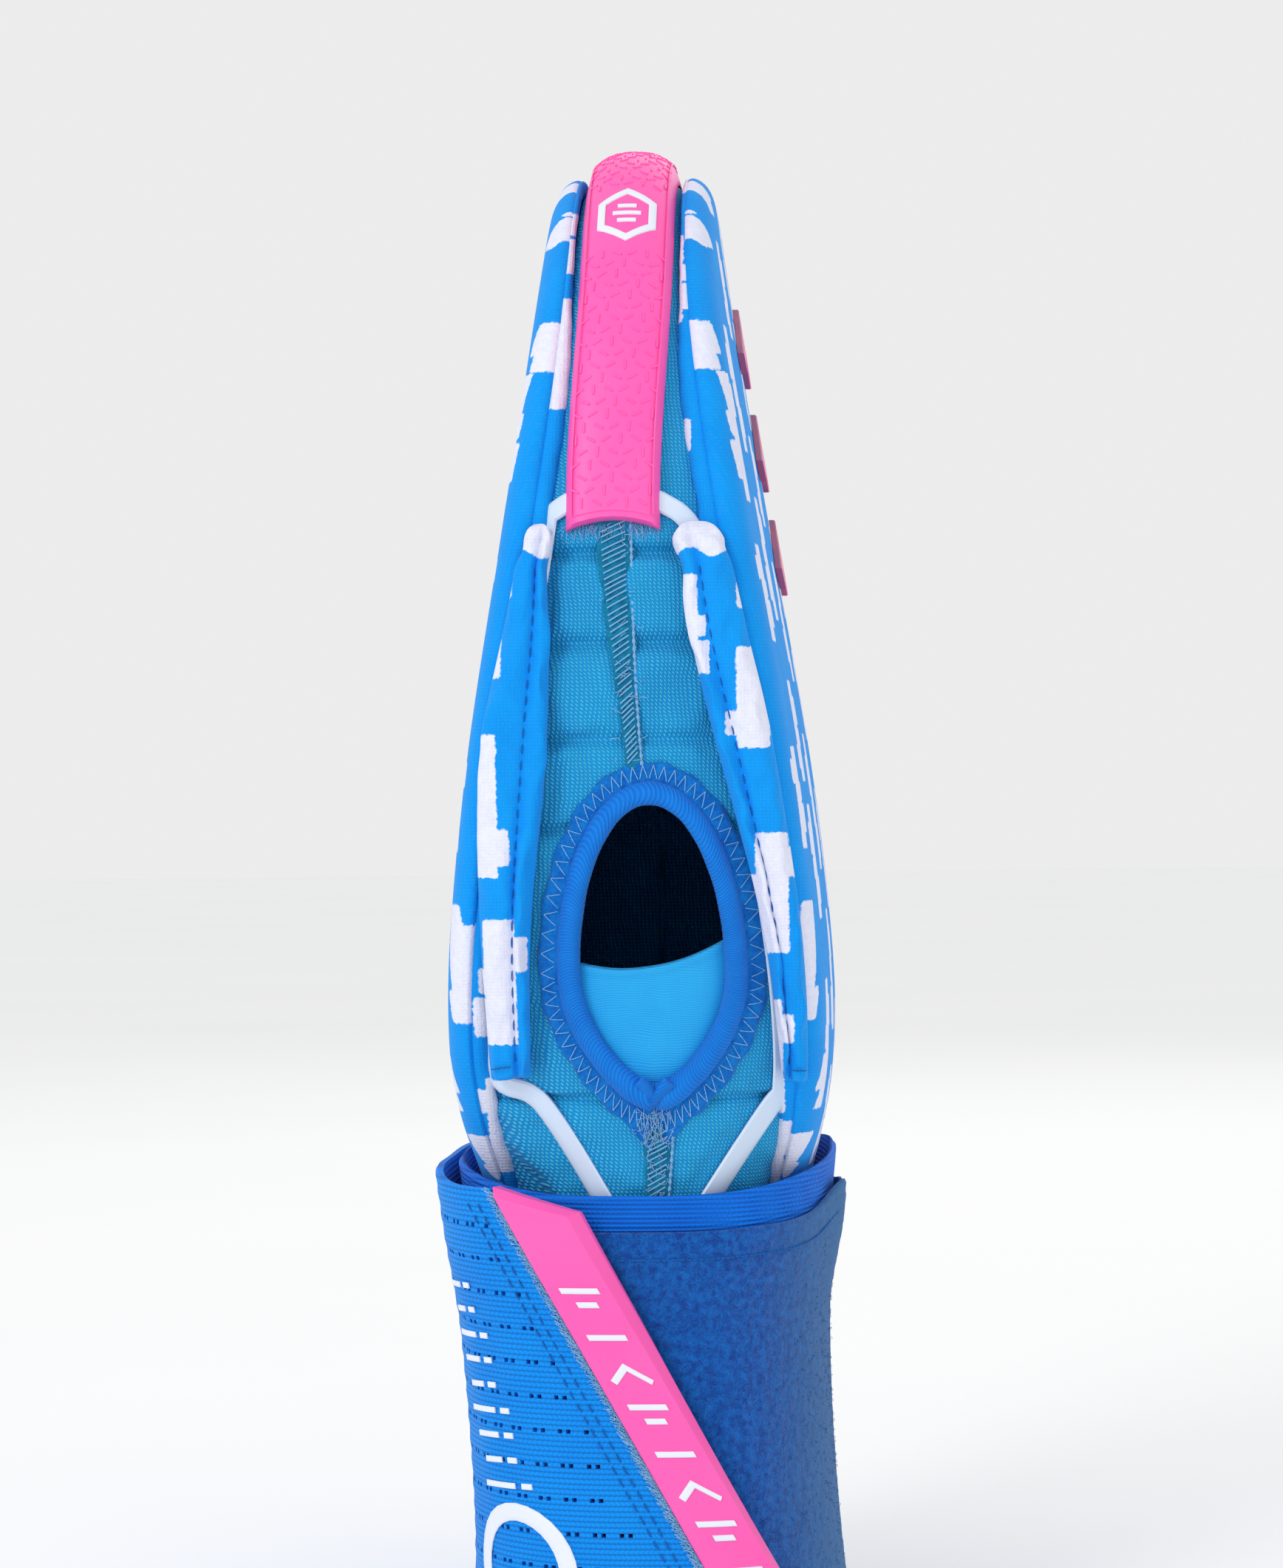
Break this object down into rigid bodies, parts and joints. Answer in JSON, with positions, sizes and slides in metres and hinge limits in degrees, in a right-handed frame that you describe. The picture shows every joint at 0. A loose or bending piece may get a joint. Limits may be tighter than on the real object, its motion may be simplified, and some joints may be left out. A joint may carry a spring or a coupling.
{
  "type": "baseball sliding mitt",
  "caption": "Rigid-plated sliding mitt with a mesh body, rubber tip bumper, thumb hole and elastic wrist cuff closed by a hook-and-loop strap.",
  "frame": {"origin": "middle of the cuff's lower rim, on the surface that the mitt stands on", "axes": "+Z towards the fingertips, +X towards the palm side, -Y towards the thumb"},
  "size_m": [0.0716, 0.133, 0.2681],
  "materials": {
    "printed_fabric": "plain weave printed with white rounded patches",
    "slider_shell": "smooth moulded sheet",
    "foam": "closed-cell foam",
    "lining_fabric": "brushed knit",
    "badge_rubber": "moulded, satin, with darker sides",
    "mesh_fabric": "padded open-cell sandwich mesh with quilted channels",
    "bumper_rubber": "moulded, matt, with a raised tread",
    "frame_plastic": "moulded strip, satin",
    "seam_thread": "overlocked thread",
    "facing_fabric": "knit tape with zigzag stitching",
    "knit_binding": "rolled rib knit",
    "sleeve_lycra": "smooth stretch knit",
    "cuff_elastic": "ribbed elastic webbing",
    "loop_pile": "brushed loop pile",
    "strap_elastic": "perforated ribbed elastic",
    "hook_tape": "moulded hooks",
    "tab_rubber": "moulded, satin, with darker sides"
  },
  "bodies": {
    "root": {"back_cover": "printed_fabric", "back_slider_plate": "slider_shell", "back_foam_pad": "foam", "back_lining": "lining_fabric", "back_badge_1": "badge_rubber", "back_badge_2": "badge_rubber", "back_badge_3": "badge_rubber", "palm_cover": "printed_fabric", "palm_slider_plate": "slider_shell", "palm_foam_pad": "foam", "palm_lining": "lining_fabric", "palm_badge_1": "badge_rubber", "palm_badge_2": "badge_rubber", "palm_badge_3": "badge_rubber", "back_mesh_gusset": "mesh_fabric", "palm_mesh_gusset": "mesh_fabric", "tip_bumper": "bumper_rubber", "back_thumb_guard": "printed_fabric", "back_thumb_frame_strip": "frame_plastic", "back_little_finger_guard": "printed_fabric", "back_little_finger_frame_strip": "frame_plastic", "palm_thumb_guard": "printed_fabric", "palm_thumb_frame_strip": "frame_plastic", "palm_little_finger_guard": "printed_fabric", "palm_little_finger_frame_strip": "frame_plastic", "thumb_side_upper_seam": "seam_thread", "thumb_side_lower_seam": "seam_thread", "little_finger_seam": "seam_thread", "thumb_hole_facing": "facing_fabric", "thumb_hole_binding": "knit_binding", "thumb_sleeve": "sleeve_lycra", "cuff_bottom_binding": "knit_binding", "cuff_lining": "lining_fabric", "cuff_elastic": "cuff_elastic", "loop_panel": "loop_pile", "strap_sewn_end": "strap_elastic"},
    "strap_side": {"strap_side_panel": "strap_elastic"},
    "strap_front": {"strap_front_panel": "strap_elastic", "hook_patch": "hook_tape", "tab_sewing_flange": "tab_rubber", "pull_tab": "tab_rubber"}
  },
  "joints": [
    {"name": "strap_swing", "type": "hinge", "parent": "root", "child": "strap_side", "pos_m": [-0.02576, 0.03628, 0.0485], "axis": [0.0748, -0.0717, -0.9946], "range_deg": [0, 72]},
    {"name": "strap_peel", "type": "hinge", "parent": "strap_side", "child": "strap_front", "pos_m": [-0.03239, -0.02407, 0.0485], "axis": [0.0719, 0.0679, -0.9951], "range_deg": [0, 120]}
  ],
  "couplings": [
    {"joint": "strap_swing", "follows": "strap_peel", "ratio": 0.6}
  ]
}
